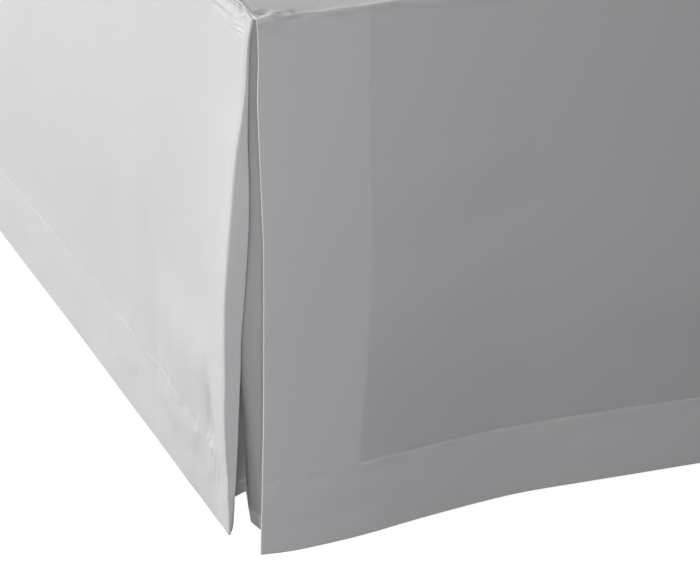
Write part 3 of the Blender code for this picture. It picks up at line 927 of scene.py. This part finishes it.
def deckSheet():
    edge = deck["edge"]
    halfWidth = bed["width"] / 2 - edge
    length = bed["length"] - edge
    half = graded(*deckEdgeSteps, (halfWidth, 0.022))
    across = np.concatenate([half - halfWidth, halfWidth - half[-2::-1]])
    headSteps = [(length - back, spacing) for back, spacing in deckHeadSteps]
    along = graded(*deckEdgeSteps, (0.9, 0.022), *headSteps)
    x, y = np.meshgrid(across, along, indexing="ij")
    toSide = halfWidth - np.abs(x)
    toSeam = np.minimum(toSide, y)
    toHead = length - y
    fromSide = bed["width"] / 2 - np.abs(x)
    fromFoot = edge + y
    toCorner = np.hypot(fromSide, fromFoot)
    droop = cornerDroop(fromSide, fromFoot, 0) + seamSag(fromFoot, 0) * bell(fromSide, deck["sagReach"])
    for dent in deckDents:
        inSide, inFoot = dent["at"]
        droop = droop + dent["depth"] * bell(np.hypot(fromSide - inSide, y - inFoot), dent["width"])
    z = bed["seamTop"] - deck["sink"] - (droop - softFolds(fromSide, y, deckFolds))
    curl = -deck["curl"] * ease(toSeam / deck["curlOver"])
    slack = deck["slow"] * ripple(x, y, *deck["slowSize"], 61.5)
    slack = slack + deck["fine"] * ripple(x, y, *deck["fineSize"], 63.5)
    slack = np.abs(slack) * ease(toSeam / 0.05) * ease(toHead / 0.03)
    alongSide = seamPuckers(fromFoot, fromFoot, toSide, 39.5, 0.0)
    fromPanelEnd = x + bed["width"] / 2 - bed["footPanelEnd"]
    alongFoot = seamPuckers(fromPanelEnd, toCorner, y, 11.5, deck["footRidge"])
    atHem = falling(toHead, deck["headHem"] + hem["step"], 2 * hem["step"])
    stitches = bell(toHead - deck["headHem"], deck["stitchWidth"]) * ease(toHead / 0.004)
    return {
        "face": np.stack([x, fromFoot - bed["length"] / 2, z], axis=-1),
        "turn": 1,
        "thickness": np.full_like(x, bed["cloth"]),
        "bend": curl + slack + np.maximum(0, alongSide) + np.maximum(0, alongFoot),
        "puff": -deck["stitch"] * stitches * millimetre,
        "toEdge": np.minimum(toSeam, toHead),
        "along": x + 1.0,
        "down": y,
        # paler at the head hem and along the seam, doubled cloth with a painted highlight; painted shade
        # over the field
        "doubled": deck["edgeShade"] * np.maximum(atHem, bell(toSeam, deck["edgeShadeReach"])),
        "backed": deck["backed"] + (1 - deck["backed"]) * bell(toSeam, deck["unshadedReach"]),
    }


# Box spring, a loft of rounded rectangles

boxSpring = {
    "cornerRadius": 0.038,
    "bulge": 0.0008,
    "tape": 0.022,
    "groove": 0.0012,           # in from the tape's face to the ticking beside it
    "topGap": 0.0027,           # from the seam's top
    "ticking": (0.70, 0.69, 0.66, 1),
    "tapeColor": (0.60, 0.60, 0.59, 1),
}
# Rows are (in from the side, up from the bottom or down from the top, on the tape).
boxBottom = [(0.40, 0.0006, 0), (0.20, 0.0006, 0), (0.08, 0.0006, 0), (0.03, 0.0006, 0), (0.012, 0.0004, 0)]
boxTop = [(0.012, 0.0003, 0), (0.03, 0.0004, 0), (0.08, 0.0004, 0), (0.20, 0.0004, 0), (0.40, 0.0004, 0)]
boxEdge = [
    (0.006, 0.0002, 1), (0.003, 0.0006, 1), (0.001, 0.0022, 1), (0.0002, 0.005, 1),
    (0.0002, boxSpring["tape"] - 0.002, 1), (0.0006, boxSpring["tape"], 1),
    (boxSpring["groove"], boxSpring["tape"] + boxSpring["groove"], 0),
]
boxSideShares = (0.04, 0.12, 0.25, 0.4, 0.5, 0.6, 0.75, 0.88, 0.96)


def roundedRectangle(inset, cornerSteps=10, sideSteps=26):
    halfX = bed["width"] / 2 - bed["setback"] - inset
    halfY = bed["length"] / 2 - bed["setback"] - inset
    radius = max(boxSpring["cornerRadius"] - inset, 0.004)
    arcs = []
    for sx, sy, start in ((1, -1, -90), (1, 1, 0), (-1, 1, 90), (-1, -1, 180)):
        cx, cy = sx * (halfX - radius), sy * (halfY - radius)
        angles = [radians(start + 90 * step / cornerSteps) for step in range(cornerSteps + 1)]
        arcs.append([Vector((cx + radius * cos(angle), cy + radius * sin(angle))) for angle in angles])
    points = []
    for arc, following in zip(arcs, arcs[1:] + arcs[:1]):
        points += arc
        points += [arc[-1].lerp(following[0], step / sideSteps) for step in range(1, sideSteps)]
    return points


def boxProfile():  # (in from the side, height, on the tape)
    low, high = bed["boxBottom"], bed["seamTop"] - boxSpring["topGap"]
    tape, groove, bulge = boxSpring["tape"], boxSpring["groove"], boxSpring["bulge"]
    profile = [(inset, low + rise, onTape) for inset, rise, onTape in boxBottom + boxEdge]
    for share in boxSideShares:
        height = low + tape + 0.002 + (high - low - 2 * tape - 0.004) * share
        profile.append((groove - (groove + bulge) * sin(pi * share) ** 0.6, height, 0))
    return profile + [(inset, high - fall, onTape) for inset, fall, onTape in boxEdge[::-1] + boxTop]


def boxSpringCover():
    profile = boxProfile()
    mesh = bpy.data.meshes.new("box_spring_cover")
    bm = bmesh.new()
    rings = []
    for inset, height, onTape in profile:
        outline = [point + origin.xy for point in roundedRectangle(inset)]
        rings.append([bm.verts.new((point.x, point.y, height)) for point in outline])
    for lower, upper in zip(rings, rings[1:]):
        for i in range(len(lower)):
            j = (i + 1) % len(lower)
            bm.faces.new((lower[i], lower[j], upper[j], upper[i]))
    bm.faces.new(rings[0][::-1])
    bm.faces.new(rings[-1])
    bm.to_mesh(mesh)
    bm.free()
    marks = np.repeat([onTape for inset, height, onTape in profile], len(rings[0]))
    addAttribute(mesh, "tape", marks.astype(float))
    return mesh


def ticking():
    material, shader, flow = newFinish("box_ticking", {"Specular IOR Level": 0.2, "Sheen Weight": 0.2})
    place = flow.node("ShaderNodeTexCoord", output="Object")
    threads = flow.grain(place, 900.0, 2.0)
    cloud = flow.grain(place, 6.0, 4.0)
    body = flow.blend(flow.attribute("tape"), boxSpring["ticking"], boxSpring["tapeColor"])
    feed(shader, {
        "Base Color": flow.shaded(body, 1.0 + (cloud - 0.5) * 0.08 + (threads - 0.5) * 0.08),
        "Roughness": 0.85 + (threads - 0.5) * 0.1,
        "Normal": flow.bump(threads * 0.0002),
    })
    return material


baseSteel = {"color": (0.055, 0.055, 0.058, 1), "roughness": 0.42, "grainHeight": 0.00012}


def paintedSteel():
    material, shader, flow = newFinish("base_steel", {"Specular IOR Level": 0.5})
    place = flow.node("ShaderNodeTexCoord", output="Object")
    grain = flow.grain(place, 1400.0, 2.0)
    wear = flow.grain(place, 35.0, 5.0, 0.65)
    feed(shader, {
        "Base Color": flow.shaded(baseSteel["color"], 1.0 + (wear - 0.5) * 0.5),
        "Roughness": baseSteel["roughness"] + (wear - 0.5) * 0.3,
        "Normal": flow.bump(grain * baseSteel["grainHeight"]),
    })
    return material


# Build

def dress(node, cut, seed):
    name = node + "_cloth"
    mesh = makeCloth(name, cut)
    piece = addObject(name, mesh, skirtCloth(name, seed), "skirt_cloth", node)
    print("cloth", name, len(mesh.polygons))


dress("foot_panel", footPanel(), 1.0)
for row in sides:
    name = "side_panel_" + row["name"]
    dress(name, sidePanel(row), 3.0 + row["side"])
    name = "corner_insert_" + row["name"]
    seed = 9.0 + row["side"]
    dress(name, cornerInsert(row), seed)
dress("deck", deckSheet(), 15.0)

cover = addObject("box_spring_cover", boxSpringCover(), ticking(), "box_ticking", "box_spring")
print("box spring", len(cover.data.polygons))

steel = paintedSteel()
steelNodes = [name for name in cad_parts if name.startswith(("side_rail", "cross_rail", "leg"))]
for name in steelNodes:
    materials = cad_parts[name].data.materials
    materials.clear()
    materials.append(steel)
print("steel base", len(steelNodes))


# Floor, light and camera

studio = {
    "rings": (0.0, 2.0, 5.0, 13.0),     # radii of the level floor
    "curve": 4.0,
    "top": 12.0,
    "spokes": 64,
    "glow": 0.93,
    "white": (0.86, 0.86, 0.86, 1),
}
lights = {
    "key_light": {"azimuth": -40, "elevation": 16, "distance": 6.0, "aim": (0.50, -1.0, 0.27),
                  "size": (2.4, 1.8), "power": 345, "color": (1.0, 1.0, 1.0)},
    "side_light": {"azimuth": 80, "elevation": 18, "distance": 1.5, "aim": (0.76, -1.30, 0.28),
                   "size": (0.4, 0.5), "power": 7.55, "color": (0.99, 0.99, 1.02)},
}
skyStops = [    # from straight down to straight up
    (0.0, (0.10, 0.10, 0.10, 1)), (0.48, (0.12, 0.12, 0.12, 1)),
    (0.52, (0.98, 0.99, 1.02, 1)), (1.0, (0.98, 0.99, 1.02, 1)),
]
skyStrength = 0.23
view = {
    "location": (2.2414, -1.5160, 0.7915),
    "turn": (69.183, -0.549, 68.813),   # degrees
    "lens": 125.486,
    "sensor": 36.0,
}


def whiteFloor():
    constants = {"Specular IOR Level": 0.1, "Emission Strength": studio["glow"]}
    material, shader, flow = newFinish("floor_white", constants)
    place = flow.node("ShaderNodeTexCoord", output="Object")
    cloud = flow.grain(place, 1.5, 3.0)
    shade = 0.97 + (cloud - 0.5) * 0.02
    feed(shader, {
        "Base Color": flow.shaded(studio["white"], shade),
        "Emission Color": flow.shaded((1.0, 1.0, 1.0, 1), shade),
        "Roughness": 0.8 + (cloud - 0.5) * 0.1,
    })
    return material


def addFloor():
    flat, curve = studio["rings"][-1], studio["curve"]
    profile = [(radius, 0.0) for radius in studio["rings"]]
    for angle in range(10, 91, 10):
        profile.append((flat + curve * sin(radians(angle)), curve - curve * cos(radians(angle))))
    profile.append((flat + curve, studio["top"]))
    mesh = bpy.data.meshes.new("studio_floor")
    bm = bmesh.new()
    verts = [bm.verts.new((radius, 0, height)) for radius, height in profile]
    edges = [bm.edges.new(pair) for pair in zip(verts, verts[1:])]
    bmesh.ops.spin(bm, geom=verts + edges, cent=(0, 0, 0), axis=(0, 0, 1), angle=2 * pi,
                   steps=studio["spokes"], use_merge=True)
    bmesh.ops.remove_doubles(bm, verts=bm.verts, dist=1e-5)
    bmesh.ops.recalc_face_normals(bm, faces=bm.faces)
    bm.to_mesh(mesh)
    bm.free()
    mesh.shade_smooth()
    mesh.materials.append(whiteFloor())
    floor = bpy.data.objects.new("studio_floor", mesh)
    bpy.context.scene.collection.objects.link(floor)
    floor.visible_diffuse = False
    floor.visible_shadow = False


def addSoftLight(name, settings):
    light = bpy.data.lights.new(name, "AREA")
    light.shape = "RECTANGLE"
    light.size, light.size_y = settings["size"]
    light.energy = settings["power"]
    light.color = settings["color"]
    lamp = bpy.data.objects.new(name, light)
    bpy.context.scene.collection.objects.link(lamp)
    azimuth, elevation = radians(settings["azimuth"]), radians(settings["elevation"])
    back = Vector((sin(azimuth) * cos(elevation), -cos(azimuth) * cos(elevation), sin(elevation)))
    lamp.location = Vector(settings["aim"]) + back * settings["distance"]
    lamp.rotation_euler = (-back).to_track_quat("-Z", "Y").to_euler()
    lamp.visible_camera = False


def addSky():
    world = bpy.data.worlds.new("studio_world")
    bpy.context.scene.world = world
    world.use_nodes = True
    air = Flow(world.node_tree)
    direction = air.node("ShaderNodeTexCoord", output="Generated")
    height = air.node("ShaderNodeSeparateXYZ", {}, {"Vector": direction}, "Z")
    sky = air.node("ShaderNodeValToRGB", {"stops": skyStops}, {"Fac": height * 0.5 + 0.5})
    backdrop = world.node_tree.nodes["Background"]
    feed(backdrop, {"Color": sky})
    backdrop.inputs["Strength"].default_value = skyStrength


def addCamera():
    camera = bpy.data.objects.new("camera", bpy.data.cameras.new("camera"))
    bpy.context.scene.collection.objects.link(camera)
    camera.data.sensor_width = view["sensor"]
    camera.data.lens = view["lens"]
    camera.location = view["location"]
    camera.rotation_euler = [radians(angle) for angle in view["turn"]]
    bpy.context.scene.camera = camera
    bpy.context.scene.view_settings.view_transform = "Standard"


addFloor()
for name, settings in lights.items():
    addSoftLight(name, settings)
addSky()
addCamera()
print("studio", len(lights), "lights")
